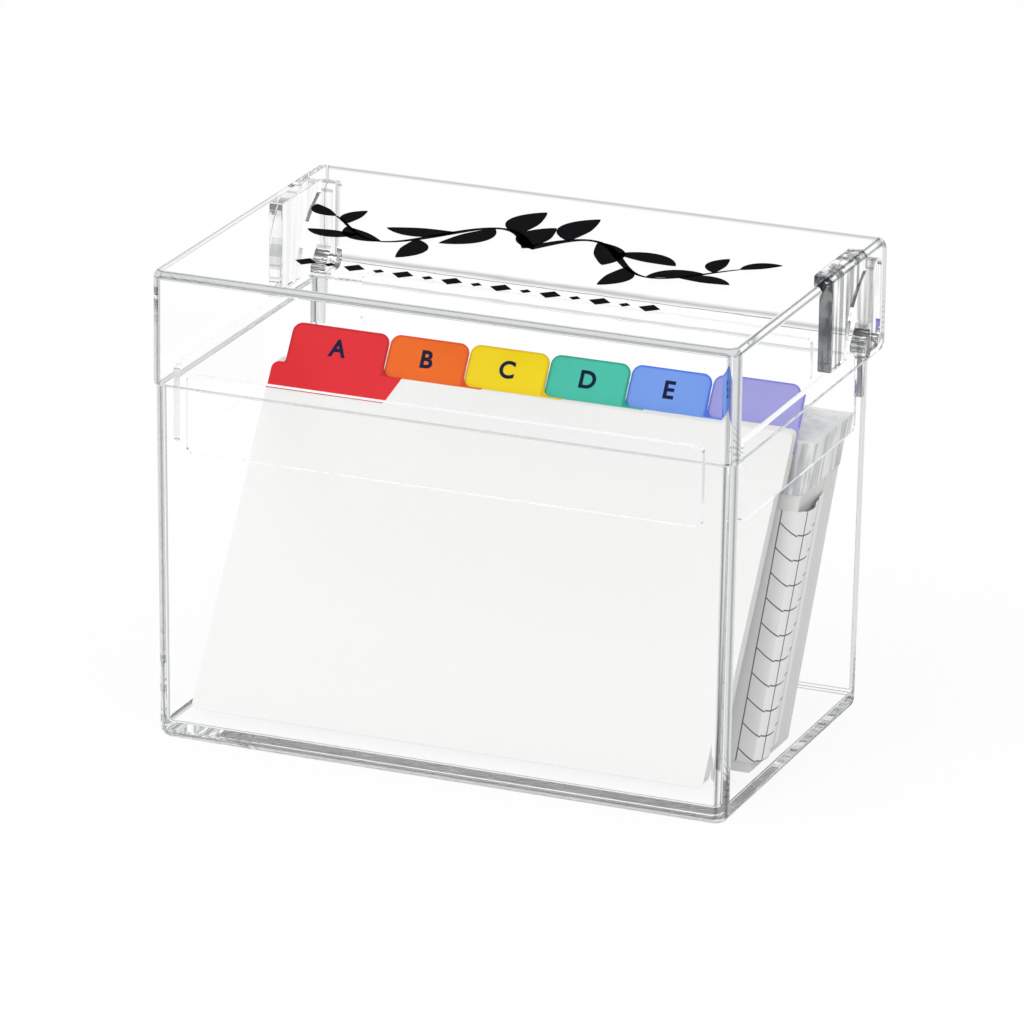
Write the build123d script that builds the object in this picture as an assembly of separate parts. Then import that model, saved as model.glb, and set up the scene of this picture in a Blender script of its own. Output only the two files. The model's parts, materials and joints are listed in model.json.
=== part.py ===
from build123d import *
from math import cos, radians, sin, tan
import os

# Clear hinged-lid box that holds a row of leaning index cards with tabbed dividers.
# Millimetres. X runs along the front, Y towards the hinge, Z up from the surface it stands on.
# The origin is on the underside, at the middle of the closed box's footprint.

# standard index card that the box is made for, lying on its long edge
card_width = 152.4
card_height = 101.6

# box body
card_side_room = 8.8  # body's outer face beyond each end of a centred card
body_depth = 107.0
rim_above_card = 1.4
body_wall = 2.5
floor_thick = 4.5
body_corner = 4.0
side_draft = 0.8  # each side wall leans in this much from rim to underside
end_draft = 0.9  # the same for the front and back walls
foot_round = 3.0
floor_round = 1.2
rim_round = 0.4

# lid
lid_depth = 32.5  # top of the closed lid above the rim
lid_wall = 2.3
lid_lip = 0.6  # the skirt stands this far outside the body
lid_rear_reach = 10.0  # and this far behind it, round the hinge
lid_corner = 4.0
lid_edge_round = 2.0
lid_rear_round = 5.0
lid_inner_round = 0.8
rear_wall_lift = 2.2  # the lid's back wall ends this far above the skirt

# strips bonded inside the walls, which locate the lid
strip_thick = 2.0
strip_inset = 9.5  # from the body's outer corner
strip_drop = 19.0  # below the rim
strip_above_rim = 3.6
strip_corner = 2.0
rear_strip_inset = 18.0
rear_strip_drop = 9.0

# hinge
pivot_behind_body = 4.5
pivot_above_rim = 3.8
pin_radius = 1.4
pin_running_gap = 0.05
pin_press_gap = 0.01
pin_recess = 0.1
ear_width = 4.5
ear_side_gap = 0.4
ear_heel_radius = 2.9
ear_post_depth = 6.8
ear_rear_gap = 0.4
ear_top_gap = 3.2  # to the underside of the lid's top
ear_shoulder = 3.6
ear_slope = 6.0
ear_leg_drop = 11.0  # below the rim

# tabbed dividers
divider_names = ["a", "b", "c", "d", "e", "f"]
divider_thick = 0.3
divider_corner = 2.0
divider_side_gap = 1.8  # left edge to the body's inner wall at the floor
divider_foot_gap = 12.5  # first divider's foot to the front wall
divider_pitch = 0.9
divider_lean = 33.0
divider_lean_step = 0.06
foot_clearance = 0.1

tab_height = 12.0
tab_start = 3.8
first_tab_width = 29.2
tab_gap = 0.4
tab_corner = 2.8
tab_left_flare = 1.0
tab_right_flare = 3.0

sleeve_skin = 0.1
sleeve_skirt = 7.5
sleeve_left = 8.0
sleeve_right = 2.6
sleeve_slant = 3.6

# card pack behind the dividers
pack_card_short = 9.6  # these cards stand this much lower than the dividers
pack_lean = 27.0
pack_side_gap = 3.8  # right edge to the body's inner wall at the floor
pack_front_gap = 0.3  # wrapped top edge to the last divider
pack_rear_gap = 0.3  # wrapped top edge to the back wall
rear_pack_share = 0.364  # of the pack's depth along the floor
wrap_thick = 0.25
wrap_skirt = 14.5

# label sheet folded round the front bundle's right end
sheet_thick = 0.3
sheet_flap = 25.0
sheet_foot = 3.0
sheet_top_gap = 4.5  # to the lower edge of the wrapped top
sheet_bulge = 2.2
sheet_crease = 1.1
sheet_side_gap = 0.3

body_width = card_width + 2 * card_side_room
rim_height = card_height + rim_above_card
lid_height = rim_height + lid_depth
pack_card_height = card_height - pack_card_short
last_divider = len(divider_names) - 1
tab_pitch = (card_width - tab_start - first_tab_width) / last_divider
footprint_depth = body_depth + lid_lip + lid_rear_reach
body_front = lid_lip - footprint_depth / 2
body_back = body_front + body_depth
body_middle = (body_front + body_back) / 2
lid_rear = body_back + lid_rear_reach
pivot_y = body_back + pivot_behind_body
pivot_z = rim_height + pivot_above_rim
rim_inner_back = body_back - body_wall
cheek_inner = body_width / 2 + lid_lip - lid_wall


def draft_at(height, full_draft):
    return full_draft * (1 - height / rim_height)


def floor_half_width():
    return body_width / 2 - body_wall - draft_at(floor_thick, side_draft)


def floor_front():
    return body_front + body_wall + draft_at(floor_thick, end_draft)


def block(x_range, y_range, z_range):
    size = [high - low for low, high in (x_range, y_range, z_range)]
    corner = [low for low, high in (x_range, y_range, z_range)]
    return Pos(*corner) * Box(*size, align=(Align.MIN, Align.MIN, Align.MIN))


def body_section(height, inset):
    """Outline of the tapering body at a height, moved in by the inset."""
    width = body_width - 2 * (draft_at(height, side_draft) + inset)
    depth = body_depth - 2 * (draft_at(height, end_draft) + inset)
    return Pos(0, body_middle, height) * RectangleRounded(width, depth, body_corner - inset)


def body_outer():
    solid = loft([body_section(0, 0), body_section(rim_height, 0)], ruled=True)
    return fillet(solid.faces().sort_by(Axis.Z)[0].edges(), foot_round)


def body_cavity():
    sections = [body_section(floor_thick, body_wall), body_section(rim_height, body_wall)]
    solid = loft(sections, ruled=True)
    return fillet(solid.faces().sort_by(Axis.Z)[0].edges(), floor_round)


def make_body():
    shell = body_outer() - body_cavity()
    return fillet(shell.faces().sort_by(Axis.Z)[-1].edges(), rim_round)


def wall_strip(length, drop, outer_face, facing):
    """Upright rounded strip whose back lies on the plane outer_face; facing is where it points."""
    height = strip_above_rim + drop
    plane = Plane(origin=outer_face, x_dir=Vector(0, 0, 1).cross(Vector(facing)), z_dir=facing)
    middle = Pos(0, rim_height - drop + height / 2)
    return extrude(plane * middle * RectangleRounded(length, height, strip_corner), strip_thick)


def make_strips(body):
    inner_side = body_width / 2 - body_wall
    left_face = (-inner_side, body_middle, 0)
    right_face = (inner_side, body_middle, 0)
    long_strip = body_width - 2 * strip_inset
    side_strip = body_depth - 2 * strip_inset
    rear_strip = body_width - 2 * rear_strip_inset
    front_face = (0, body_front + body_wall, 0)
    rear_face = (0, rim_inner_back, 0)
    strips = {
        "front_locating_strip": wall_strip(long_strip, strip_drop, front_face, (0, 1, 0)),
        "rear_locating_strip": wall_strip(rear_strip, rear_strip_drop, rear_face, (0, -1, 0)),
        "left_locating_strip": wall_strip(side_strip, strip_drop, left_face, (1, 0, 0)),
        "right_locating_strip": wall_strip(side_strip, strip_drop, right_face, (-1, 0, 0)),
    }
    return {name: strip - body for name, strip in strips.items()}


def rear_heel():
    """Waste outside the round at the lid's lower rear corner."""
    centre_y = lid_rear - lid_rear_round
    centre_z = rim_height + lid_rear_round
    x_range = (-body_width, body_width)
    corner = block(x_range, (centre_y, lid_rear + lid_wall), (rim_height - lid_wall, centre_z))
    return corner - Pos(0, centre_y, centre_z) * Rot(0, 90, 0) * Cylinder(lid_rear_round, 3 * body_width)


def lid_outer():
    """Block with a round heel; the top edge round also runs down the rear uprights."""
    x_reach = body_width / 2 + lid_lip
    solid = block((-x_reach, x_reach), (body_front - lid_lip, lid_rear), (rim_height, lid_height))
    front_uprights = solid.edges().filter_by(Axis.Z).group_by(Axis.Y)[0]
    solid = fillet(front_uprights, lid_corner)
    rear_top = solid.edges().filter_by(Axis.X).group_by(Axis.Y)[-1].sort_by(Axis.Z)[-1]
    solid = fillet(rear_top, lid_rear_round)
    front_top = solid.edges().filter_by(Axis.X).group_by(Axis.Z)[-1].sort_by(Axis.Y)[0]
    solid = fillet(front_top, lid_edge_round) - rear_heel()
    front_bottom = solid.edges().filter_by(Axis.X).group_by(Axis.Z)[0].sort_by(Axis.Y)[0]
    return fillet(front_bottom, rim_round)


def lid_cavity():
    y_range = (body_front - lid_lip + lid_wall, lid_rear - lid_wall)
    solid = block((-cheek_inner, cheek_inner), y_range, (rim_height - lid_wall, lid_height - lid_wall))
    solid = fillet(solid.edges().filter_by(Axis.Z), lid_inner_round)
    top_rim = solid.faces().sort_by(Axis.Z)[-1].edges()
    return fillet(top_rim, lid_inner_round / 2)


def make_lid():
    """Shell with a back wall that ends above the skirt, and a pin hole through each cheek."""
    rear_gap = block(
        (-cheek_inner, cheek_inner),
        (body_back + lid_wall, lid_rear + lid_wall),
        (rim_height - lid_wall, rim_height + rear_wall_lift),
    )
    hole = pin_line(pin_radius + pin_running_gap, body_width + 4 * lid_wall, 0)
    return lid_outer() - lid_cavity() - rear_gap - hole


def pin_line(radius, length, x_middle):
    return Pos(x_middle, pivot_y, pivot_z) * Rot(0, 90, 0) * Cylinder(radius, length)


def ear_profile():
    """Side view of an ear: a leg inside the back wall, a hook over the rim and a tall round post."""
    leg_front = rim_inner_back - strip_thick
    post_rear = lid_rear - lid_wall - ear_rear_gap
    post_front = post_rear - ear_post_depth
    shoulder_z = rim_height + ear_shoulder
    post_top = lid_height - lid_wall - ear_top_gap - ear_post_depth / 2
    underside = pivot_z - ear_heel_radius
    leg_bottom = rim_height - ear_leg_drop
    outline = Polyline(
        (leg_front, leg_bottom),
        (rim_inner_back, leg_bottom),
        (rim_inner_back, rim_height),
        (body_back, rim_height),
        (body_back, underside),
        (pivot_y, underside),
        (pivot_y, post_top),
        (post_front, post_top),
        (post_front, shoulder_z + ear_slope),
        (leg_front, shoulder_z),
        close=True,
    )
    post = Pos((post_front + post_rear) / 2, (post_top + pivot_z) / 2) * Rectangle(
        ear_post_depth, post_top - pivot_z
    )
    cap = Pos((post_front + post_rear) / 2, post_top) * Circle(ear_post_depth / 2)
    heel = Pos(pivot_y, pivot_z) * Circle(ear_heel_radius)
    return make_face(outline) + post + cap + heel


def make_ear(side, body):
    """side is -1 for the left ear and 1 for the right."""
    x_outer = side * (cheek_inner - ear_side_gap)
    plane = Plane(origin=(x_outer, 0, 0), x_dir=(0, 1, 0), z_dir=(1, 0, 0))
    ear = extrude(plane * ear_profile(), -side * ear_width)
    return ear - body - pin_line(pin_radius + pin_press_gap, body_width, 0)


def make_pin(side):
    outer_end = body_width / 2 + lid_lip - pin_recess
    inner_end = cheek_inner - ear_side_gap - ear_width
    middle = side * (outer_end + inner_end) / 2
    return pin_line(pin_radius, outer_end - inner_end, middle)


def leaning_plane(x_left, foot_y, lean, foot_z):
    """Local X runs along the card, local Y up its face and local Z out of its front."""
    face_normal = (0, -cos(radians(lean)), sin(radians(lean)))
    return Plane(origin=(x_left, foot_y, foot_z), x_dir=(1, 0, 0), z_dir=face_normal)


def lean_of(index):
    return divider_lean - index * divider_lean_step


def divider_plane(index):
    x_left = -floor_half_width() + divider_side_gap
    foot_y = floor_front() + divider_foot_gap + index * divider_pitch
    return leaning_plane(x_left, foot_y, lean_of(index), floor_thick + foot_clearance)


def tab_span(index):
    """Ends of a tab; the first shows its whole width, and the last ends with the card."""
    first_end = tab_start + first_tab_width
    if index == 0:
        return tab_start, first_end
    right = card_width if index == last_divider else first_end + index * tab_pitch
    return right - tab_pitch + tab_gap, right


def divider_outline(index):
    left, right = tab_span(index)
    top = card_height + tab_height
    corners = {(0, 0): divider_corner, (card_width, 0): divider_corner}
    if index != last_divider:
        corners[(card_width, card_height)] = divider_corner
        corners[(right, card_height)] = tab_right_flare
    corners[(right, top)] = tab_corner
    corners[(left, top)] = tab_corner
    corners[(left, card_height)] = tab_left_flare
    corners[(0, card_height)] = divider_corner
    face = make_face(Polyline(*corners, close=True))
    for place, radius in corners.items():
        corner = face.vertices().sort_by_distance((*place, 0))[0]
        face = fillet(corner, radius)
    return face


def make_divider(index):
    return extrude(divider_plane(index) * divider_outline(index), divider_thick)


def make_sleeve(index):
    """Coloured film folded over the tab and a little of the card below it."""
    left, right = tab_span(index)
    skirt_bottom = card_height - sleeve_skirt
    top = card_height + tab_height + 1
    left_end = max(left - sleeve_left, -1)
    window = make_face(
        Polyline(
            (left_end, skirt_bottom),
            (right + sleeve_right, skirt_bottom),
            (right + sleeve_right + sleeve_slant, card_height),
            (right + sleeve_right + sleeve_slant, top),
            (left_end, top),
            close=True,
        )
    )
    outline = offset(divider_outline(index), sleeve_skin) & window
    plane = divider_plane(index).offset(-sleeve_skin)
    sleeve = extrude(plane * outline, divider_thick + 2 * sleeve_skin)
    return sleeve - make_divider(index)


def pack_direction():
    return Vector(0, sin(radians(pack_lean)), cos(radians(pack_lean)))


def pack_bounds():
    """Left and right edges, front foot and rear foot of the two bundles together."""
    right = floor_half_width() - pack_side_gap
    rise = pack_direction() * pack_card_height
    top_z = floor_thick + rise.Z
    last_foot = divider_plane(last_divider).origin
    divider_y = last_foot.Y + (top_z - last_foot.Z) * tan(radians(lean_of(last_divider)))
    wall_y = rim_inner_back - draft_at(top_z, end_draft)
    front_top = divider_y + sleeve_skin + wrap_thick + pack_front_gap
    rear_top = wall_y - wrap_thick - pack_rear_gap
    return right - card_width, right, front_top - rise.Y, rear_top - rise.Y


def leaning_block(x_range, y_range, start, length):
    """Slab of cards whose edges rise along the lean while its top and foot stay level."""
    low = pack_direction() * start
    width, depth = x_range[1] - x_range[0], y_range[1] - y_range[0]
    centre = (sum(x_range) / 2, sum(y_range) / 2 + low.Y, floor_thick + low.Z)
    return extrude(Pos(*centre) * Rectangle(width, depth), length, dir=pack_direction())


def bundle_split():
    """Rear end of the front bundle and start of the rear one, with the sheet's flap between."""
    front, rear = pack_bounds()[2:]
    rear_start = rear - rear_pack_share * (rear - front)
    return rear_start - sheet_thick, rear_start


def make_bundles():
    left, right, front, rear = pack_bounds()
    front_end, rear_start = bundle_split()
    return {
        "front_card_bundle": leaning_block((left, right), (front, front_end), 0, pack_card_height),
        "rear_card_bundle": leaning_block((left, right), (rear_start, rear), 0, pack_card_height),
    }


def make_wrap():
    """Clear film folded over the top of both bundles and down their sides."""
    left, right, front, rear = pack_bounds()
    film = wrap_thick
    rise = film / cos(radians(pack_lean))
    start = pack_card_height - wrap_skirt
    x_out, y_out = (left - film, right + film), (front - film, rear + film)
    outer = leaning_block(x_out, y_out, start, wrap_skirt + rise)
    return outer - leaning_block((left, right), (front, rear), 0, pack_card_height)


def sheet_section():
    """Plan of the folded sheet: a flap, a bulging column, a crease, a flat column and a flap."""
    right, front = pack_bounds()[1:3]
    end = bundle_split()[0]
    crease_y = (front + end) / 2
    face_x = right + sheet_side_gap
    front_y = front - sheet_thick
    crease = (face_x + sheet_crease, crease_y)
    bulge = (face_x + sheet_bulge, (front + crease_y) / 2)
    inner = [
        Line((right - sheet_flap, front), (face_x, front)),
        ThreePointArc((face_x, front), bulge, crease),
        Line(crease, (face_x, end)),
        Line((face_x, end), (right - sheet_flap, end)),
    ]
    out = sheet_thick
    outer = [
        Line((right - sheet_flap, end), (right - sheet_flap, end + out)),
        Line((right - sheet_flap, end + out), (face_x + out, end + out)),
        Line((face_x + out, end + out), (crease[0] + out, crease_y)),
        ThreePointArc((crease[0] + out, crease_y), (bulge[0] + out, bulge[1]), (face_x + out, front_y)),
        Line((face_x + out, front_y), (right - sheet_flap, front_y)),
        Line((right - sheet_flap, front_y), (right - sheet_flap, front)),
    ]
    return make_face(inner + outer)


def make_sheet():
    low = pack_direction() * sheet_foot
    section = Pos(0, low.Y, floor_thick + low.Z) * sheet_section()
    length = pack_card_height - wrap_skirt - sheet_top_gap - sheet_foot
    return extrude(section, length, dir=pack_direction())


def make_all():
    body = make_body()
    nodes = {"box_body": body, "hinged_lid": make_lid()}
    nodes.update(make_strips(body))
    for side, name in ((-1, "left"), (1, "right")):
        nodes[f"{name}_hinge_ear"] = make_ear(side, body)
        nodes[f"{name}_hinge_pin"] = make_pin(side)
    for index, name in enumerate(divider_names):
        nodes[f"divider_{name}_card"] = make_divider(index)
        nodes[f"divider_{name}_tab_sleeve"] = make_sleeve(index)
    nodes.update(make_bundles())
    nodes["bundle_wrap"] = make_wrap()
    nodes["label_sheet"] = make_sheet()
    return nodes


os.makedirs("parts", exist_ok=True)
for node, solid in make_all().items():
    export_step(solid, f"parts/{node}.step")
print("hinge axis y", round(pivot_y, 4), "z", round(pivot_z, 4))
for index, name in enumerate(divider_names):
    foot = divider_plane(index).origin
    print("divider", name, "foot y", round(foot.Y, 4), "z", round(foot.Z, 4), "lean", lean_of(index))
print("pack left, right, front and rear at the floor", [round(value, 3) for value in pack_bounds()])
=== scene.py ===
import json
import math

import bpy
import numpy as np
from mathutils import Matrix, Vector


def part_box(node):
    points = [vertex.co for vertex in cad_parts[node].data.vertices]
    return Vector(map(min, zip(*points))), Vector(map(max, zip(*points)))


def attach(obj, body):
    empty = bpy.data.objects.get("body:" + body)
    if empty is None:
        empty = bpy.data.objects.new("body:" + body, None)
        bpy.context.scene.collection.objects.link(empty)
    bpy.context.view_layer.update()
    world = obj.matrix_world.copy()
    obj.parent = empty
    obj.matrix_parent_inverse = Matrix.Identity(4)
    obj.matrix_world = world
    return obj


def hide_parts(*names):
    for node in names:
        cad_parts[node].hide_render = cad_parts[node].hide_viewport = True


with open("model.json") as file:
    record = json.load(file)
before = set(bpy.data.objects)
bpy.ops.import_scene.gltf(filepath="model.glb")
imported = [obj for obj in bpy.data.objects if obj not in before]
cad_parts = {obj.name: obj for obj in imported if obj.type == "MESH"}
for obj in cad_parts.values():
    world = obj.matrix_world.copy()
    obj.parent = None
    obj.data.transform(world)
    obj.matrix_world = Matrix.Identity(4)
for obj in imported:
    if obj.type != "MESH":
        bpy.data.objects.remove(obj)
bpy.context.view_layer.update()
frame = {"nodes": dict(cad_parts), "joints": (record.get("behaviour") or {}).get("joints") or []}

# A clear hinged box of index cards: moulded acrylic, card stock, coloured tab film and a printed lid.
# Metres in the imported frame: X along the front, Y towards the hinge, Z up.

scene = bpy.context.scene
nodes = frame["nodes"]
joints = {joint["name"]: joint for joint in frame["joints"]}
mm = 0.001
white = (1.0, 1.0, 1.0, 1.0)


def srgb(hexValue):  # sRGB hex to linear rgba
    parts = np.array([int(hexValue[i:i + 2], 16) for i in (1, 3, 5)]) / 255
    linear = np.where(parts <= 0.04045, parts / 12.92, ((parts + 0.055) / 1.055) ** 2.4)
    return (*linear, 1.0)


def shaded(colour, factor, lift=0.0):  # a linear colour made darker or lighter, with the alpha left alone
    return tuple(min(1.0, part * factor + lift) for part in colour[:3]) + (1.0,)


# adds a node with its settings; sockets are listed in order or by name, and a value may be a number,
# a colour, another node's output, or another node, which stands for its first output in use
def addNode(tree, kind, sockets=(), **settings):
    node = tree.nodes.new("ShaderNode" + kind)
    for name, value in settings.items():
        setattr(node, name, value)
    for name, value in sockets.items() if isinstance(sockets, dict) else enumerate(sockets):
        if isinstance(value, bpy.types.Node):
            value = next(output for output in value.outputs if output.enabled)
        if isinstance(value, bpy.types.NodeSocket):
            tree.links.new(value, node.inputs[name])
        else:
            node.inputs[name].default_value = value
    return node


def newMaterial(name):
    material = bpy.data.materials.new(name)
    material.use_nodes = True
    material.node_tree.nodes.clear()
    return material, material.node_tree


def coat(nodeNames, material):
    for name in nodeNames:
        nodes[name].data.materials[0] = material


def addObject(name, data):
    item = bpy.data.objects.new(name, data)
    scene.collection.objects.link(item)
    return item


cameraLook = {
    "place": (0.7901, -1.9431, 0.7800), "azimuth": 22.1794, "elevation": 18.9409, "roll": 0.8149,
    "lens": 281.25, "sensor": 36, "clip": (0.05, 50),
}


def makeCamera(look):  # looks along azimuth and elevation, turned a little about its own axis
    azimuth, elevation, roll = (math.radians(look[k]) for k in ("azimuth", "elevation", "roll"))
    level = math.cos(elevation)
    forward = Vector((-math.sin(azimuth) * level, math.cos(azimuth) * level, -math.sin(elevation)))
    right = forward.cross(Vector((0, 0, 1))).normalized()
    up = right.cross(forward)
    turnedRight = right * math.cos(roll) + up * math.sin(roll)
    turnedUp = up * math.cos(roll) - right * math.sin(roll)
    data = bpy.data.cameras.new("camera")
    data.sensor_width, data.lens = look["sensor"], look["lens"]
    data.clip_start, data.clip_end = look["clip"]
    camera = addObject("camera", data)
    axes = Matrix((turnedRight, turnedUp, -forward)).transposed().to_4x4()
    camera.matrix_world = Matrix.Translation(Vector(look["place"])) @ axes
    scene.camera = camera


studio = {
    "ambient": 0.93, "roomDark": 0.25, "darkFrom": 0.5, "darkTo": 0.8,  # darker ceiling, by ray height
    "floor": "#f4f4f4", "floorHalf": 4, "floorDrop": 0.0003, "floorGlow": 0.86, "aim": (0, 0, 0.05),
    "lamps": {
        "keySoftbox": {"place": (-0.9, -1.1, 1.3), "size": (0.9, 0.9), "power": 9.0},
        "fillSoftbox": {"place": (1.2, -0.2, 1.0), "size": (0.6, 0.9), "power": 2.0},
    },
}


def makeWorld(look):  # white to the camera, a soft dome for light, darker overhead for the plastic's edges
    world = bpy.data.worlds.new("studio")
    scene.world = world
    world.use_nodes = True
    tree = world.node_tree
    tree.nodes.clear()
    ray = addNode(tree, "SeparateXYZ", [addNode(tree, "TexCoord").outputs["Generated"]])
    path = addNode(tree, "LightPath")
    room = addNode(tree, "MapRange", {
        "Value": ray.outputs["Z"], "From Min": look["darkFrom"], "From Max": look["darkTo"],
        "To Min": 1.0, "To Max": look["roomDark"]})
    level = addNode(
        tree, "Mix", {0: path.outputs["Is Diffuse Ray"], 2: room, 3: look["ambient"]}, data_type="FLOAT")
    shown = addNode(tree, "Math", [level, path.outputs["Is Camera Ray"]], operation="MAXIMUM")
    back = addNode(tree, "Background", {"Color": white, "Strength": shown})
    addNode(tree, "OutputWorld", {"Surface": back})


def makeFloor(look):  # plain sweep: keeps the shadow, looks white by sight, by mirror and through plastic
    half = look["floorHalf"]
    data = bpy.data.meshes.new("floor")
    corners = [(-half, -half, 0), (half, -half, 0), (half, half, 0), (-half, half, 0)]
    data.from_pydata(corners, [], [(0, 1, 2, 3)])
    floor = addObject("floor", data)
    floor.location.z = -look["floorDrop"]
    material, tree = newMaterial("whiteSweep")
    path = addNode(tree, "LightPath").outputs
    seen = addNode(tree, "Math", [path["Is Camera Ray"], path["Is Glossy Ray"]], operation="MAXIMUM")
    seen = addNode(tree, "Math", [seen, path["Is Transmission Ray"]], operation="MAXIMUM")
    share = addNode(tree, "Math", [seen, look["floorGlow"]], operation="MULTIPLY")
    matte = addNode(tree, "BsdfDiffuse", {"Color": srgb(look["floor"])})
    glow = addNode(tree, "Emission", {"Color": white, "Strength": 1.0})
    addNode(tree, "OutputMaterial", {"Surface": addNode(tree, "MixShader", [share, matte, glow])})
    data.materials.append(material)


def addLamp(name, look, aim):
    data = bpy.data.lights.new(name, "AREA")
    data.shape, data.energy = "RECTANGLE", look["power"]
    data.size, data.size_y = look["size"]
    lamp = addObject(name, data)
    lamp.location = look["place"]
    lamp.rotation_euler = (Vector(aim) - Vector(look["place"])).to_track_quat("-Z", "Y").to_euler()


makeCamera(cameraLook)
makeWorld(studio)
makeFloor(studio)
for name, look in studio["lamps"].items():
    addLamp(name, look, studio["aim"])
print("studio ready")


clearAcrylic = {
    "tint": "#ffffff", "shadowTint": "#f8f8f8", "ior": 1.49, "wave": 14 * mm, "waveDepth": 0.012 * mm,
    "calm": 2.6,  # power on the mirror share: 1 is plain acrylic, more calms the open walls
    "trapped": "#dcdedf", "trappedFrom": 12, "trappedBy": 22,  # tone of light caught in a wall, by bounces
    # the line keys draw painted shade on the rounded edges
    "lineAt": 0.5, "lineCore": 0.05, "lineWidth": 0.38, "edgeShadeTone": "#c4c7c8",  # on the rounded edges
    "streak": 2.7 * mm, "streakStretch": 0.07, "streakFrom": 0.5, "streakTo": 0.6, "streakTone": "#5a5e60",
    "frontFacing": -0.7, "edgeFacing": 0.5, "edgeLight": 0.0,
}
earStreaks = {"left": 0.15, "right": 0.55}


# injection-moulded acrylic: water clear, glossy, and very slightly wavy from the mould
# streaks is the strength of its painted dark streaks; frontTone darkens what is seen through its front end
# with a painted dark tone
def makeClearAcrylic(name, look, streaks=0.0, frontTone=0.0):
    material, tree = newMaterial(name)
    place = addNode(tree, "TexCoord").outputs["Object"]
    wave = addNode(tree, "TexNoise", {"Vector": place, "Scale": 1 / look["wave"], "Detail": 1.0})
    bump = addNode(tree, "Bump", {"Height": wave, "Distance": look["waveDepth"], "Strength": 1.0})
    surface = addNode(tree, "NewGeometry").outputs
    normal = addNode(tree, "SeparateXYZ", [surface["Normal"]]).outputs
    x, y, z = (addNode(tree, "Math", [normal[axis], normal[axis]], operation="MULTIPLY") for axis in "XYZ")
    yAndZ = addNode(tree, "Math", [y, z], operation="ADD")
    yTimesZ = addNode(tree, "Math", [y, z], operation="MULTIPLY")
    pairs = addNode(tree, "Math", [x, yAndZ, yTimesZ], operation="MULTIPLY_ADD")
    # 0 on flat faces, 1 half way round an edge
    rounded = addNode(tree, "Math", [pairs, 4.0], operation="MULTIPLY")
    offLine = addNode(tree, "Math", [rounded, look["lineAt"]], operation="SUBTRACT")
    offLine = addNode(tree, "Math", [offLine], operation="ABSOLUTE")
    line = addNode(tree, "MapRange", {
        "Value": offLine, "From Min": look["lineCore"], "From Max": look["lineWidth"],
        "To Min": 1.0, "To Max": 0.0})
    # painted shade: two thin grey lines along each rounded edge, in what is seen through it and in its
    # mirror, for the darker room that a polished edge bends into view
    clear, grey = srgb(look["tint"]), srgb(look["edgeShadeTone"])
    lined = addNode(tree, "Mix", {0: line, 6: clear, 7: grey}, data_type="RGBA")
    passed = lined
    if streaks:  # upright grey streaks in a small thick moulding: painted reflections of the darker room
        upright = addNode(tree, "Mapping", {"Vector": place, "Scale": (1.0, 1.0, look["streakStretch"])})
        streakNoise = addNode(tree, "TexNoise", {"Vector": upright, "Scale": 1 / look["streak"], "Detail": 1.0})
        marks = addNode(tree, "MapRange", {
            "Value": streakNoise, "From Min": look["streakFrom"], "From Max": look["streakTo"],
            "To Min": 0.0, "To Max": streaks})
        # painted dark tone on the front end, from outside only: a face seen from inside is lifted past the
        # limit
        facing = addNode(tree, "Math", [surface["Backfacing"], 2.0, normal["Y"]], operation="MULTIPLY_ADD")
        frontEnd = addNode(tree, "Math", [facing, look["frontFacing"]], operation="LESS_THAN")
        frontShare = addNode(tree, "Math", [frontEnd, frontTone], operation="MULTIPLY")
        share = addNode(tree, "Math", [marks, frontShare], operation="MAXIMUM")
        passed = addNode(tree, "Mix", {0: share, 6: lined, 7: srgb(look["streakTone"])}, data_type="RGBA")
    bend = addNode(tree, "BsdfRefraction", {
        "Color": passed, "Roughness": 0.0, "IOR": look["ior"], "Normal": bump})
    mirror = addNode(tree, "BsdfAnisotropic", {"Color": lined, "Roughness": 0.0, "Normal": bump})
    fresnel = addNode(tree, "Fresnel", {"IOR": look["ior"], "Normal": bump})
    # the mirror stays full inside the walls, where light is trapped
    mirrorShare = addNode(tree, "Math", [fresnel, look["calm"]], operation="POWER")
    plastic = addNode(tree, "MixShader", [mirrorShare, bend, mirror])
    path = addNode(tree, "LightPath").outputs
    # painted glow: from twelve bounces on, the plastic fades into a grey glow, in place of light still
    # caught in a wall
    deep = addNode(tree, "MapRange", {
        "Value": path["Ray Depth"], "From Min": look["trappedFrom"], "From Max": look["trappedBy"]})
    caught = addNode(tree, "Emission", {"Color": srgb(look["trapped"])})
    plastic = addNode(tree, "MixShader", [deep, plastic, caught])
    if look["edgeLight"]:  # painted glow: the upper and lower edges glow white, for light carried inside coming out there
        level = addNode(tree, "Math", [normal["Z"]], operation="ABSOLUTE")
        level = addNode(tree, "Math", [level, look["edgeFacing"]], operation="GREATER_THAN")
        level = addNode(tree, "Math", [level, look["edgeLight"]], operation="MULTIPLY")
        bright = addNode(tree, "Emission", {"Color": white})
        plastic = addNode(tree, "MixShader", [level, plastic, bright])
    # lamps and bounced daylight pass straight through, so the shadow stays pale
    lampRays = addNode(tree, "Math", [path["Is Shadow Ray"], path["Is Diffuse Ray"]], operation="MAXIMUM")
    through = addNode(tree, "BsdfTransparent", {"Color": srgb(look["shadowTint"])})
    addNode(tree, "OutputMaterial", {"Surface": addNode(tree, "MixShader", [lampRays, plastic, through])})
    return material


coat(["box_body", "hinged_lid"], makeClearAcrylic("clearMouldedAcrylic", clearAcrylic))
coat(["left_hinge_ear"], makeClearAcrylic("clearLeftEar", clearAcrylic, earStreaks["left"]))
coat(["right_hinge_ear"], makeClearAcrylic("clearRightEar", clearAcrylic, earStreaks["right"]))
print("plastic ready")


locatingStrip = {"glueGap": 0.05 * mm, "edgeLight": 0.6}


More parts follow.
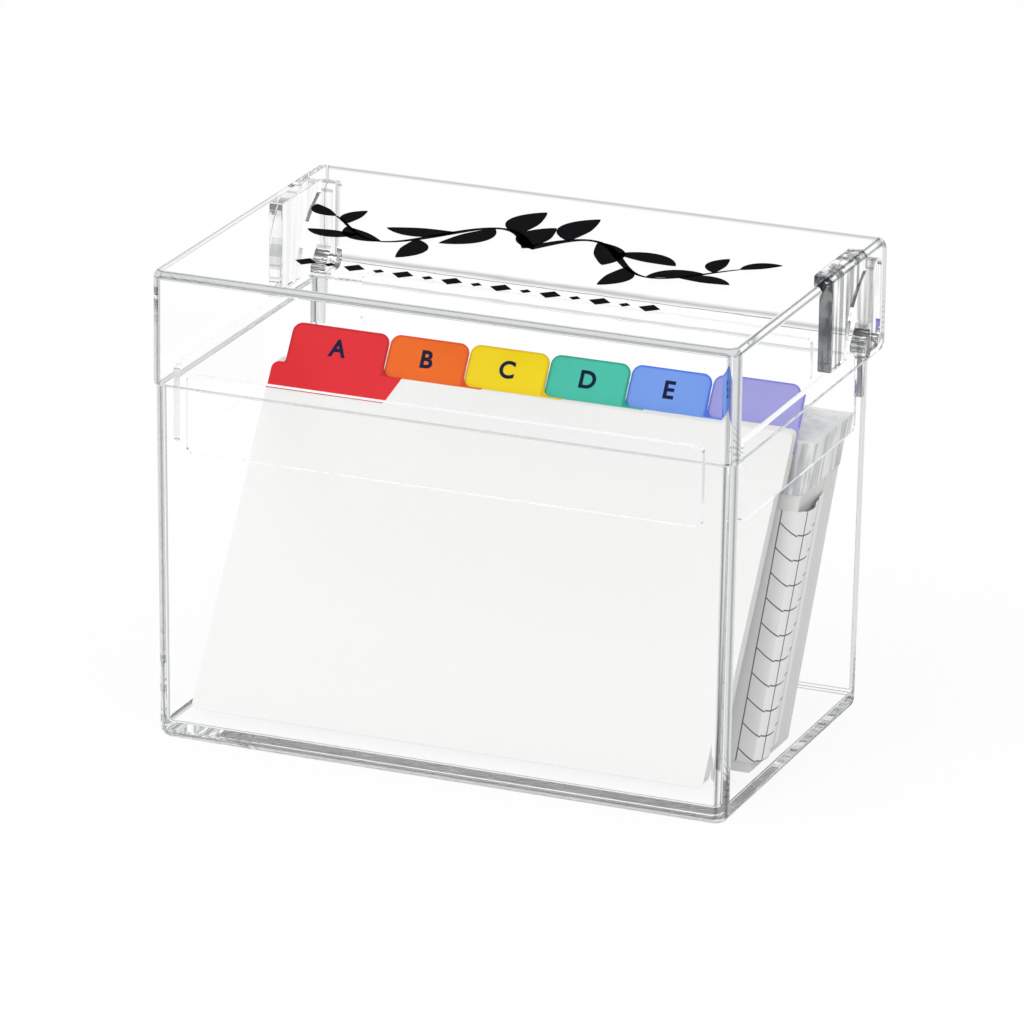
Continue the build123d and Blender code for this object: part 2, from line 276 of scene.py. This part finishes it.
# the strip's own shape with its bonded face drawn back by the glue gap, by scaling it across its
# thickness about the free face: light can't be traced through two clear faces in one place
def addStrip(side, axis, freeEnd, material):
    name = f"{side}_locating_strip"
    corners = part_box(name)
    free, thick = corners[freeEnd][axis], corners[1][axis] - corners[0][axis]
    mesh = nodes[name].data.copy()
    places = np.empty(len(mesh.vertices) * 3, np.float32)
    mesh.vertices.foreach_get("co", places)
    places = places.reshape(-1, 3)
    places[:, axis] = free + (places[:, axis] - free) * (1 - locatingStrip["glueGap"] / thick)
    mesh.vertices.foreach_set("co", places.ravel())
    mesh.materials[0] = material
    strip = addObject(f"{side}_strip_bonded", mesh)
    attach(strip, "box")
    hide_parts(name)


stripLook = dict(clearAcrylic, edgeLight=locatingStrip["edgeLight"])
stripAcrylic = makeClearAcrylic("clearBondedStrip", stripLook)
for side, axis, freeEnd in (("front", 1, 1), ("rear", 1, 0), ("left", 0, 1), ("right", 0, 0)):
    addStrip(side, axis, freeEnd, stripAcrylic)
print("locating strips ready")


hingeCheek = {
    "wide": 4.0 * mm, "front": 16 * mm, "low": 107.3 * mm, "edge": 0.3 * mm, "edgeSteps": 3,
    "lidWall": 2.3 * mm, "clear": 0.06 * mm, "earGap": 0.8 * mm,
    "swing": 24.5 * mm, "swingSteps": 16,  # the ear's top passes 23.2 mm from the pin
    "streaks": {"left": 0.06, "right": 0.6}, "frontTone": {"left": 0.0, "right": 0.85},
}


# clear block that thickens the lid's side wall before the hinge: an outline in Y and Z carried across X,
# with its rear hollowed in an arc about the pin, so that the ear clears it as the lid opens
def addHingeCheek(side, sign):
    look = hingeCheek
    swing, pin = look["swing"], joints["lid_hinge"]["pos_m"]
    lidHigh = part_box("hinged_lid")[1]
    inset = look["lidWall"] + look["clear"]
    outer, top = lidHigh.x - inset, lidHigh.z - inset
    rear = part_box(f"{side}_hinge_ear")[0].y - look["earGap"]
    first, last = math.asin((look["low"] - pin[2]) / swing), math.acos((pin[1] - rear) / swing)
    turn = np.linspace(first, last, look["swingSteps"])
    arc = np.stack([pin[1] - swing * np.cos(turn), pin[2] + swing * np.sin(turn)], 1)
    outline = np.concatenate([[(look["front"], look["low"])], arc, [(rear, top), (look["front"], top)]])
    count = len(outline)
    near, far = sorted((sign * (outer - look["wide"]), sign * outer))
    corners = np.concatenate([np.column_stack([np.full(count, x), outline]) for x in (near, far)])
    here = np.arange(count)
    after = (here + 1) % count
    walls = np.stack([here, after, after + count, here + count], 1).tolist()
    ends = [here[::-1].tolist(), (here + count).tolist()]
    mesh = bpy.data.meshes.new(f"{side}_hinge_cheek")
    mesh.from_pydata(corners.tolist(), [], ends + walls)
    streaks, frontTone = look["streaks"][side], look["frontTone"][side]
    mesh.materials.append(makeClearAcrylic(f"clearCheek_{side}", clearAcrylic, streaks, frontTone))
    block = addObject(f"{side}_hinge_cheek", mesh)
    rounding = block.modifiers.new("rounding", "BEVEL")
    rounding.width, rounding.segments = look["edge"], look["edgeSteps"]
    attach(block, "lid")


addHingeCheek("left", -1)
addHingeCheek("right", 1)
print("hinge cheeks ready")


hingeSteel = {"colour": "#c9c9c6", "roughness": 0.28, "grain": 0.15 * mm, "scratch": 0.004 * mm}


def makeHingeSteel(look):  # turned steel pin: silver, with fine rings round it from the lathe
    material, tree = newMaterial("turnedSteel")
    place = addNode(tree, "SeparateXYZ", [addNode(tree, "TexCoord").outputs["Object"]])
    along = addNode(tree, "Math", [place.outputs["X"], 1 / look["grain"]], operation="MULTIPLY")
    rings = addNode(tree, "TexNoise", {"W": along}, noise_dimensions="1D")
    bump = addNode(tree, "Bump", {"Height": rings, "Distance": look["scratch"]})
    steel = addNode(tree, "BsdfPrincipled", {
        "Base Color": srgb(look["colour"]), "Metallic": 1.0,
        "Roughness": look["roughness"], "Normal": bump})
    addNode(tree, "OutputMaterial", {"Surface": steel})
    return material


coat(["left_hinge_pin", "right_hinge_pin"], makeHingeSteel(hingeSteel))


indexCard = {"colour": "#f6f6f5", "fibre": 0.9 * mm, "mottle": 0.03, "tooth": 0.012 * mm, "roughness": 0.78}


def makeCardStock(look):  # uncoated index stock: bright white, matt, with a faint fibre mottle
    material, tree = newMaterial("indexCardStock")
    place = addNode(tree, "TexCoord").outputs["Object"]
    fibre = addNode(tree, "TexNoise", {"Vector": place, "Scale": 1 / look["fibre"], "Detail": 3.0})
    paper = srgb(look["colour"])
    mottled = shaded(paper, 1 - look["mottle"])
    colour = addNode(tree, "Mix", {0: fibre, 6: mottled, 7: paper}, data_type="RGBA")
    bump = addNode(tree, "Bump", {"Height": fibre, "Distance": look["tooth"]})
    card = addNode(tree, "BsdfPrincipled", {
        "Base Color": colour, "Roughness": look["roughness"], "Normal": bump})
    addNode(tree, "OutputMaterial", {"Surface": card})
    return material


coat([f"divider_{letter}_card" for letter in "abcdef"], makeCardStock(indexCard))


cardPack = {
    "light": "#f2f2f1", "dark": "#bdbdbb", "card": 0.9 * mm, "darkBelow": 0.36, "lightFrom": 0.6,
    "lean": 27.0, "step": 0.05 * mm, "roughness": 0.8, "underFacing": -0.9, "floorLight": 0.7,
}


# cut edges of many cards: a fine dark stripe of painted shade between every few cards, drawn coarser than
# the real 0.25 mm so it shows
def makeCardEdges(look):
    material, tree = newMaterial("stackedCardEdges")
    lean = math.radians(look["lean"])
    place = addNode(tree, "TexCoord").outputs["Object"]
    across = (0, math.cos(lean), -math.sin(lean))
    through = addNode(tree, "VectorMath", [place, across], operation="DOT_PRODUCT").outputs["Value"]
    cards = addNode(tree, "Math", [through, 1 / look["card"]], operation="MULTIPLY")
    stripes = addNode(tree, "TexNoise", {"W": cards, "Detail": 2.0}, noise_dimensions="1D")
    ramp = addNode(tree, "MapRange", {
        "Value": stripes, "From Min": look["darkBelow"], "From Max": look["lightFrom"]})
    dark, light = srgb(look["dark"]), srgb(look["light"])
    colour = addNode(tree, "Mix", {0: ramp, 6: dark, 7: light}, data_type="RGBA")
    bump = addNode(tree, "Bump", {"Height": ramp, "Distance": look["step"]})
    facing = addNode(tree, "SeparateXYZ", [addNode(tree, "NewGeometry").outputs["Normal"]]).outputs
    # painted glow: the underside, which rests on the clear floor, glows for the light that runs in it
    underside = addNode(tree, "Math", [facing["Z"], look["underFacing"]], operation="LESS_THAN")
    glow = addNode(tree, "Math", [underside, look["floorLight"]], operation="MULTIPLY")
    edges = addNode(tree, "BsdfPrincipled", {
        "Base Color": colour, "Roughness": look["roughness"], "Normal": bump,
        "Emission Color": white, "Emission Strength": glow})
    addNode(tree, "OutputMaterial", {"Surface": edges})
    return material


coat(["front_card_bundle", "rear_card_bundle"], makeCardEdges(cardPack))
print("cards ready")


labelSheet = {
    # paper: white paper drawn a little grey, painted shade of the pack's side
    "paper": "#e7e7e8", "ink": "#5a5b5e", "line": 0.36 * mm, "rows": 10, "thick": 0.3 * mm,
    "columns": (-4.5 * mm, 2.5 * mm, 14.0 * mm),  # rules along the sheet, from the pack's front corner
    "droop": 3.2 * mm, "droopPower": 1.5, "fibre": 1.2 * mm, "tooth": 0.01 * mm, "roughness": 0.65,
}


# folded label sheet: white paper drawn a little grey as painted shade, with two columns of boxes in thin
# grey rules, the first one round the fold
def makeRuledPaper(look):
    material, tree = newMaterial("ruledLabelPaper")
    low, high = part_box("label_sheet")
    start, crease, end = look["columns"]
    run, halfLine = high.z - low.z, look["line"] / 2
    place = addNode(tree, "TexCoord").outputs["Object"]
    axes = addNode(tree, "SeparateXYZ", [place]).outputs
    rise = addNode(tree, "Math", [axes["Z"], low.z], operation="SUBTRACT")
    lean = math.tan(math.radians(cardPack["lean"]))
    front = addNode(tree, "Math", [rise, lean, low.y], operation="MULTIPLY_ADD")
    behind = addNode(tree, "Math", [axes["Y"], front], operation="SUBTRACT")
    onFlap = addNode(tree, "Math", [behind, 2 * look["thick"]], operation="LESS_THAN")
    inward = addNode(tree, "Math", [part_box("front_card_bundle")[1].x, axes["X"]], operation="SUBTRACT")
    flapRun = addNode(tree, "Math", [inward, onFlap], operation="MULTIPLY")
    # less than 0 on the flap, more on the side
    along = addNode(tree, "Math", [behind, flapRun], operation="SUBTRACT")
    # the cross rules droop in the first column: the share left before the crease, to a power, by the droop
    left = addNode(tree, "Math", [crease, along], operation="SUBTRACT")
    left = addNode(tree, "Math", [left, 1 / (crease - start)], operation="MULTIPLY")
    left = addNode(tree, "Math", [left, 0.0], operation="MAXIMUM")
    drop = addNode(tree, "Math", [left, look["droopPower"]], operation="POWER")
    drop = addNode(tree, "Math", [drop, look["droop"]], operation="MULTIPLY")
    row = addNode(tree, "Math", [rise, drop], operation="SUBTRACT")
    row = addNode(tree, "Math", [row, run / look["rows"]], operation="DIVIDE")
    # a rule is inked where the row is within half a line of a whole number, between the outer columns
    nearest = addNode(tree, "Math", [row], operation="ROUND")
    offRule = addNode(tree, "Math", [row, nearest], operation="SUBTRACT")
    offRule = addNode(tree, "Math", [offRule], operation="ABSOLUTE")
    ink = addNode(tree, "Math", [offRule, halfLine * look["rows"] / run], operation="LESS_THAN")
    afterStart = addNode(tree, "Math", [along, start], operation="GREATER_THAN")
    beforeEnd = addNode(tree, "Math", [along, end], operation="LESS_THAN")
    ruled = addNode(tree, "Math", [afterStart, beforeEnd], operation="MULTIPLY")
    ink = addNode(tree, "Math", [ink, ruled], operation="MULTIPLY")
    for edge in look["columns"]:
        offEdge = addNode(tree, "Math", [along, edge], operation="SUBTRACT")
        offEdge = addNode(tree, "Math", [offEdge], operation="ABSOLUTE")
        onEdge = addNode(tree, "Math", [offEdge, halfLine], operation="LESS_THAN")
        ink = addNode(tree, "Math", [ink, onEdge], operation="MAXIMUM")
    colour = addNode(tree, "Mix", {0: ink, 6: srgb(look["paper"]), 7: srgb(look["ink"])}, data_type="RGBA")
    fibre = addNode(tree, "TexNoise", {"Vector": place, "Scale": 1 / look["fibre"]})
    bump = addNode(tree, "Bump", {"Height": fibre, "Distance": look["tooth"]})
    paper = addNode(tree, "BsdfPrincipled", {
        "Base Color": colour, "Roughness": look["roughness"], "Normal": bump})
    addNode(tree, "OutputMaterial", {"Surface": paper})
    return material


coat(["label_sheet"], makeRuledPaper(labelSheet))


tabs = {
    "height": 12.0 * mm, "cardHeight": 101.6 * mm, "skirt": 7.5 * mm, "corner": 2.8 * mm, "start": 3.8 * mm,
    "firstWidth": 29.2 * mm, "pitch": 23.88 * mm, "gap": 0.4 * mm,
    "left": -79.935 * mm, "foot": 4.6 * mm, "lean": 33.0, "leanStep": 0.06,
    "fold": 0.7 * mm, "foldCore": 0.15, "haze": 6 * mm, "hazeShade": 0.94, "ripple": 0.03 * mm,
    "roughness": 0.3, "shine": 0.12,
    "face": ["#e41f2b", "#f36b0c", "#fbdd00", "#46c6ac", "#78a1f2", "#a5a4e6"],
    "edge": ["#c20a1c", "#e04a10", "#e6bd00", "#1f9f84", "#4a74e6", "#7f7cd8"],
}


def tabSpan(index):  # left and right ends along the card's edge
    firstEnd = tabs["start"] + tabs["firstWidth"]
    right = firstEnd + index * tabs["pitch"]
    return (tabs["start"], firstEnd) if index == 0 else (right - tabs["pitch"] + tabs["gap"], right)


def dividerPlace(index):  # matrix from a card's own X across, Y up and Z out of its front to the frame
    lean = math.radians(tabs["lean"] - index * tabs["leanStep"])
    foot = joints[f"divider_{'abcdef'[index]}_tilt"]["pos_m"]
    columns = ((1, 0, 0), (0, math.sin(lean), math.cos(lean)), (0, -math.cos(lean), math.sin(lean)))
    return Matrix.Translation((tabs["left"], foot[1], tabs["foot"])) @ Matrix(columns).transposed().to_4x4()


def makeTabFilm(index):  # polyester film folded over the card: glossy, deeper in colour along its fold
    material, tree = newMaterial(f"colouredTabFilm{index + 1}")
    matrix = dividerPlace(index)
    across, up = (matrix.to_3x3().col[i] for i in (0, 1))
    left, right = tabSpan(index)
    top, bottom = tabs["cardHeight"] + tabs["height"], tabs["cardHeight"] - tabs["skirt"]
    place = addNode(tree, "TexCoord").outputs["Object"]
    offset = addNode(tree, "VectorMath", [place, matrix.translation], operation="SUBTRACT")
    u = addNode(tree, "VectorMath", [offset, across], operation="DOT_PRODUCT").outputs["Value"]
    v = addNode(tree, "VectorMath", [offset, up], operation="DOT_PRODUCT").outputs["Value"]
    # distance inside the rounded tab: the corner radius less how far the point lies past the corner centres
    fromMiddle = addNode(tree, "Math", [u, (left + right) / 2], operation="SUBTRACT")
    fromMiddle = addNode(tree, "Math", [fromMiddle], operation="ABSOLUTE")
    overU = addNode(tree, "Math", [fromMiddle, (right - left) / 2 - tabs["corner"]], operation="SUBTRACT")
    overU = addNode(tree, "Math", [overU, 0.0], operation="MAXIMUM")
    overV = addNode(tree, "Math", [v, top - tabs["corner"]], operation="SUBTRACT")
    overV = addNode(tree, "Math", [overV, 0.0], operation="MAXIMUM")
    squareV = addNode(tree, "Math", [overV, overV], operation="MULTIPLY")
    reach = addNode(tree, "Math", [overU, overU, squareV], operation="MULTIPLY_ADD")
    reach = addNode(tree, "Math", [reach], operation="SQRT")
    inside = addNode(tree, "Math", [tabs["corner"], reach], operation="SUBTRACT")
    aboveSkirt = addNode(tree, "Math", [v, bottom], operation="SUBTRACT")
    onTab = addNode(tree, "Math", [v, tabs["cardHeight"]], operation="GREATER_THAN")
    depth = addNode(tree, "Mix", {0: onTab, 2: aboveSkirt, 3: inside}, data_type="FLOAT")
    edge = addNode(tree, "MapRange", {
        "Value": depth, "From Min": tabs["foldCore"] * tabs["fold"], "From Max": tabs["fold"],
        "To Min": 1.0, "To Max": 0.0})
    haze = addNode(tree, "TexNoise", {"Vector": place, "Scale": 1 / tabs["haze"], "Detail": 1.0})
    face = srgb(tabs["face"][index])
    body = addNode(tree, "Mix", {0: haze, 6: shaded(face, tabs["hazeShade"]), 7: face}, data_type="RGBA")
    colour = addNode(tree, "Mix", {0: edge, 6: body, 7: srgb(tabs["edge"][index])}, data_type="RGBA")
    bump = addNode(tree, "Bump", {"Height": haze, "Distance": tabs["ripple"]})
    film = addNode(tree, "BsdfPrincipled", {
        "Base Color": colour, "Roughness": tabs["roughness"],
        "Specular IOR Level": tabs["shine"], "Normal": bump})
    addNode(tree, "OutputMaterial", {"Surface": film})
    return material


printedInk = {"soak": 1.5 * mm, "lighter": 1.25, "lift": 0.004}


def makeInk(name, hexValue, roughness):  # printed ink: dark and matt, faintly uneven where it soaked in
    material, tree = newMaterial(name)
    place = addNode(tree, "TexCoord").outputs["Object"]
    uneven = addNode(tree, "TexNoise", {"Vector": place, "Scale": 1 / printedInk["soak"], "Detail": 2.0})
    ink = srgb(hexValue)
    lighter = shaded(ink, printedInk["lighter"], printedInk["lift"])
    colour = addNode(tree, "Mix", {0: uneven, 6: ink, 7: lighter}, data_type="RGBA")
    shader = addNode(tree, "BsdfPrincipled", {
        "Base Color": colour, "Roughness": roughness, "Specular IOR Level": 0.0})
    addNode(tree, "OutputMaterial", {"Surface": shader})
    return material


markText = {
    "letters": "ABCDE", "ink": "#1b2440", "roughness": 0.4, "height": 4.8 * mm, "bold": 0.4 * mm,
    "drop": 5.9 * mm, "lift": 0.42 * mm, "thick": 0.01 * mm, "steps": 6,
}


def addMark(index, letter, material):  # a bold index letter printed on a tab
    curve = bpy.data.curves.new("mark", "FONT")
    curve.body, curve.align_x, curve.align_y = letter, "CENTER", "CENTER"
    curve.size, curve.extrude = 1.0, 0.0
    source = addObject("mark", curve)
    bpy.context.view_layer.update()
    curve.size = markText["height"] / source.dimensions.y
    curve.offset, curve.extrude = markText["bold"] / 2, markText["thick"]
    curve.resolution_u = markText["steps"]
    bpy.context.view_layer.update()
    mesh = bpy.data.meshes.new_from_object(source.evaluated_get(bpy.context.evaluated_depsgraph_get()))
    bpy.data.objects.remove(source)
    left, right = tabSpan(index)
    height = tabs["cardHeight"] + tabs["height"] - markText["drop"]
    centre = Vector(((left + right) / 2, height, markText["lift"]))
    places = np.empty(len(mesh.vertices) * 3, np.float32)
    mesh.vertices.foreach_get("co", places)
    places = places.reshape(-1, 3)
    middle = (places.max(0) + places.min(0)) / 2
    mesh.transform(dividerPlace(index) @ Matrix.Translation(centre - Vector(middle)))
    mesh.materials.clear()
    mesh.materials.append(material)
    mark = addObject(f"tab_mark_{letter.lower()}", mesh)
    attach(mark, f"divider_{'abcdef'[index]}")


for index in range(len(tabs["face"])):
    coat([f"divider_{'abcdef'[index]}_tab_sleeve"], makeTabFilm(index))
markInk = makeInk("tabMarkInk", markText["ink"], markText["roughness"])
for index, letter in enumerate(markText["letters"]):
    addMark(index, letter, markInk)
print("tabs ready")


crinkledWrap = {
    "film": "#f6f7f7", "shade": "#c4c6c8", "show": 0.85, "roughness": 0.16,
    "streak": 2.2 * mm, "streakStretch": 9.0, "streakFrom": 0.42, "streakTo": 0.58,
    "topFacing": 0.5, "topShare": 0.15, "crease": 5 * mm, "depth": 0.3 * mm, "streakRelief": 0.4,
}


def makeWrapFilm(look):  # thin clear wrapping film: glossy and sharply creased, drawn near-opaque pale white, partly the film itself and partly painted highlight, with grey streaks of painted shade down its skirt
    material, tree = newMaterial("creasedClearFilm")
    place = addNode(tree, "TexCoord").outputs["Object"]
    turn = (-math.radians(cardPack["lean"]), 0, 0)
    stretched = addNode(  # long down the leaning cards
        tree, "Mapping", {"Vector": place, "Rotation": turn, "Scale": (1.0, 1.0, look["streakStretch"])},
        vector_type="TEXTURE")
    streaks = addNode(tree, "TexNoise", {"Vector": stretched, "Scale": 1 / look["streak"], "Detail": 2.0})
    marks = addNode(tree, "MapRange", {
        "Value": streaks, "From Min": look["streakFrom"], "From Max": look["streakTo"],
        "To Min": 1.0, "To Max": 0.0})
    facing = addNode(tree, "SeparateXYZ", [addNode(tree, "NewGeometry").outputs["Normal"]]).outputs
    onTop = addNode(tree, "Math", [facing["Z"], look["topFacing"]], operation="GREATER_THAN")
    fade = addNode(tree, "Math", [onTop, 1 - look["topShare"]], operation="MULTIPLY")
    strength = addNode(tree, "Math", [1.0, fade], operation="SUBTRACT")  # the painted shade fades on the flat top
    share = addNode(tree, "Math", [marks, strength], operation="MULTIPLY")
    clear, grey = srgb(look["film"]), srgb(look["shade"])
    colour = addNode(tree, "Mix", {0: share, 6: clear, 7: grey}, data_type="RGBA")
    creases = addNode(
        tree, "TexVoronoi", {"Vector": place, "Scale": 1 / look["crease"]}, feature="DISTANCE_TO_EDGE")
    relief = [streaks, look["streakRelief"], creases.outputs["Distance"]]
    height = addNode(tree, "Math", relief, operation="MULTIPLY_ADD")
    bump = addNode(tree, "Bump", {"Height": height, "Distance": look["depth"]})
    film = addNode(tree, "BsdfPrincipled", {
        "Base Color": colour, "Roughness": look["roughness"], "Alpha": look["show"], "Normal": bump})
    addNode(tree, "OutputMaterial", {"Surface": film})
    return material


wrapPuff = {
    "from": 30 * mm, "back": 28 * mm, "height": 3.4 * mm, "lift": 0.05 * mm, "grid": (70, 40),
    "frequency": 0.32, "ridgeAngles": (0.4, 1.5, 2.5), "ridgeShare": 0.75, "bend": 3.0, "bendRate": 0.2,
    "endPower": 0.5, "sidePower": 0.7, "sideLean": 1.3,
}


# gathered film on the wrapped pack: a low cushion, the product of a sine in each direction, so it is zero
# at its rim, ridged by the mean size of three crossing sine waves
def addWrapPuff(look, material):
    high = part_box("bundle_wrap")[1]
    wide, deep = look["grid"]
    across, back = np.meshgrid(np.linspace(0, 1, wide), np.linspace(0, 1, deep), indexing="ij")
    x = look["from"] + (high.x - look["from"] - look["lift"]) * across
    y = high.y - look["back"] + (look["back"] - look["lift"]) * back
    bentX, flatY = x / mm + look["bend"] * np.sin(look["bendRate"] * y / mm), y / mm
    waves = []
    for angle in look["ridgeAngles"]:
        run = bentX * math.cos(angle) + flatY * math.sin(angle)
        waves.append(np.abs(np.sin(look["frequency"] * run + 2 * angle)))
    ridges = sum(waves) / len(waves)
    rim = np.sin(np.pi * across) ** look["endPower"]
    rim = rim * np.sin(np.pi * back ** look["sideLean"]) ** look["sidePower"]
    swell = 1 - look["ridgeShare"] + look["ridgeShare"] * ridges
    z = high.z + look["lift"] + look["height"] * rim * swell
    corner = np.arange(wide * deep).reshape(wide, deep)
    quads = np.stack([corner[:-1, :-1], corner[1:, :-1], corner[1:, 1:], corner[:-1, 1:]], -1)
    places = np.stack([x, y, z], -1).reshape(-1, 3)
    mesh = bpy.data.meshes.new("wrap_puff")
    mesh.from_pydata(places.tolist(), [], quads.reshape(-1, 4).tolist())
    mesh.materials.append(material)
    piece = addObject("wrap_puff", mesh)
    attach(piece, "box")


wrapFilm = makeWrapFilm(crinkledWrap)
coat(["bundle_wrap"], wrapFilm)
addWrapPuff(wrapPuff, wrapFilm)
print("wrap ready")


ornament = {
    "centre": (0.0, 4.0 * mm), "ink": "#101012", "roughness": 0.35, "thick": 0.08 * mm, "lift": 0.02 * mm,
    "halfWidth": 60 * mm, "wave": 15 * mm, "halfWaves": 2.2, "waveFade": 0.35, "stemPoints": 90,
    "stroke": 3.4 * mm, "strokeStart": 1.05, "strokeFade": 0.85, "strokeEven": 0.75,
    "leaves": 7, "leafLength": 23 * mm, "leafWidth": 9.5 * mm, "leafBow": 0.12, "leafPoints": 25,
    "leafPower": 0.8, "leafTurn": 0.75, "leafStart": 1.05, "leafFade": 0.45, "leafSpread": 0.6,
    "endLeaf": 0.55, "middleLeaf": 0.9, "point": 1e-6,  # shares of a full leaf, and the width at its tip
    "dots": 15, "dotRow": -37 * mm, "dotStep": 7.2 * mm, "dotSize": 4.2 * mm, "dotShares": (1.5, 0.8),
}


# grid on the lid: points of a path moved to each side along its normal by half the width
def ribbon(path, width):
    step = np.gradient(path, axis=0)
    normal = np.stack([-step[:, 1], step[:, 0]], 1) / np.linalg.norm(step, axis=1, keepdims=True)
    side = normal * width[:, None] / 2
    return np.stack([path - side, path + side], 1)


# pointed oval: its width goes as a power of sin(pi t) along a midrib that bows as sin(pi t)
def leafShape(base, angle, length, width):
    look = ornament
    t = np.linspace(0, 1, look["leafPoints"])
    bow = look["leafBow"] * length * np.sin(np.pi * t)
    along = np.array([math.cos(angle), math.sin(angle)])
    across = np.array([-math.sin(angle), math.cos(angle)])
    path = base + np.outer(t * length, along) + np.outer(bow, across)
    return ribbon(path, width * np.sin(np.pi * t) ** look["leafPower"] + look["point"])


# half of the mirrored sprig: its stem is a fading sine wave that thins outwards, with leaves on each side
def sprig(side):
    look = ornament
    t = np.linspace(0, 1, look["stemPoints"])
    swing = look["halfWaves"] * np.pi * t
    height = look["wave"] * np.sin(swing) * (1 - look["waveFade"] * t)
    stem = np.stack([side * look["halfWidth"] * t, height], 1)
    thinning = look["strokeStart"] - look["strokeFade"] * t
    pulse = look["strokeEven"] + (1 - look["strokeEven"]) * np.cos(2 * swing)
    shapes = [ribbon(stem, look["stroke"] * thinning * pulse)]
    heading = np.gradient(stem, axis=0)
    for k in range(1, look["leaves"] + 1):
        i = int(k / (look["leaves"] + look["leafSpread"]) * (len(t) - 1))
        turn = math.atan2(heading[i, 1], heading[i, 0])
        lean = look["leafTurn"] if k % 2 else -look["leafTurn"]
        size = look["leafStart"] - look["leafFade"] * k / look["leaves"]
        long, wide = look["leafLength"] * size, look["leafWidth"] * size
        shapes.append(leafShape(stem[i], turn + side * lean, long, wide))
    end, size = math.atan2(heading[-1, 1], heading[-1, 0]), look["endLeaf"]
    shapes.append(leafShape(stem[-1], end, look["leafLength"] * size, look["leafWidth"] * size))
    return shapes


def lozenge(x, size):  # four-sided diamond on the row of marks under the sprig
    look = ornament
    t = np.linspace(0, 1, 3)
    path = np.stack([x + (t - 0.5) * size, np.full(3, look["dotRow"])], 1)
    return ribbon(path, np.array([look["point"], size, look["point"]]))


def addOrnament():  # all shapes in one thin print on the lid, each wound so that it faces up
    look = ornament
    middleLength = look["middleLeaf"] * look["leafLength"]
    shapes = sprig(1) + sprig(-1) + [leafShape(np.zeros(2), math.pi / 2, middleLength, look["leafWidth"])]
    places =(np.arange(look["dots"]) - (look["dots"] - 1) / 2) * look["dotStep"]
    shapes += [lozenge(x, look["dotSize"] * look["dotShares"][i % 2]) for i, x in enumerate(places)]
    verts, faces, start = [], [], 0
    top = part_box("hinged_lid")[1].z + look["lift"]
    for grid in shapes:
        count = len(grid)
        flat = grid.reshape(-1, 2) + np.array(look["centre"])
        verts.append(np.column_stack([flat, np.full(len(flat), top)]))
        corner = start + 2 * np.arange(count - 1)
        quads = np.stack([corner, corner + 2, corner + 3, corner + 1], 1)
        edge = grid[1:-1, 1] - grid[1:-1, 0]
        step = np.gradient(grid.mean(1), axis=0)[1:-1]
        turned = step[:, 0] * edge[:, 1] - step[:, 1] * edge[:, 0]
        faces.append(quads if turned.mean() > 0 else quads[:, ::-1])
        start += 2 * count
    mesh = bpy.data.meshes.new("lid_ornament")
    mesh.from_pydata(np.concatenate(verts).tolist(), [], np.concatenate(faces).tolist())
    mesh.materials.append(makeInk("blackLidPrint", look["ink"], look["roughness"]))
    piece = addObject("lid_ornament", mesh)
    solid = piece.modifiers.new("thickness", "SOLIDIFY")
    solid.thickness, solid.offset = look["thick"], 1.0
    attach(piece, "lid")


addOrnament()
print("ornament ready")


# bounces enough for two clear shells; trapped light is cut off before them
render = {"bounces": 24, "transparent": 32}

scene.view_settings.view_transform = "Standard"
scene.cycles.max_bounces = render["bounces"]
scene.cycles.transmission_bounces = render["bounces"]
scene.cycles.glossy_bounces = render["bounces"]
scene.cycles.transparent_max_bounces = render["transparent"]
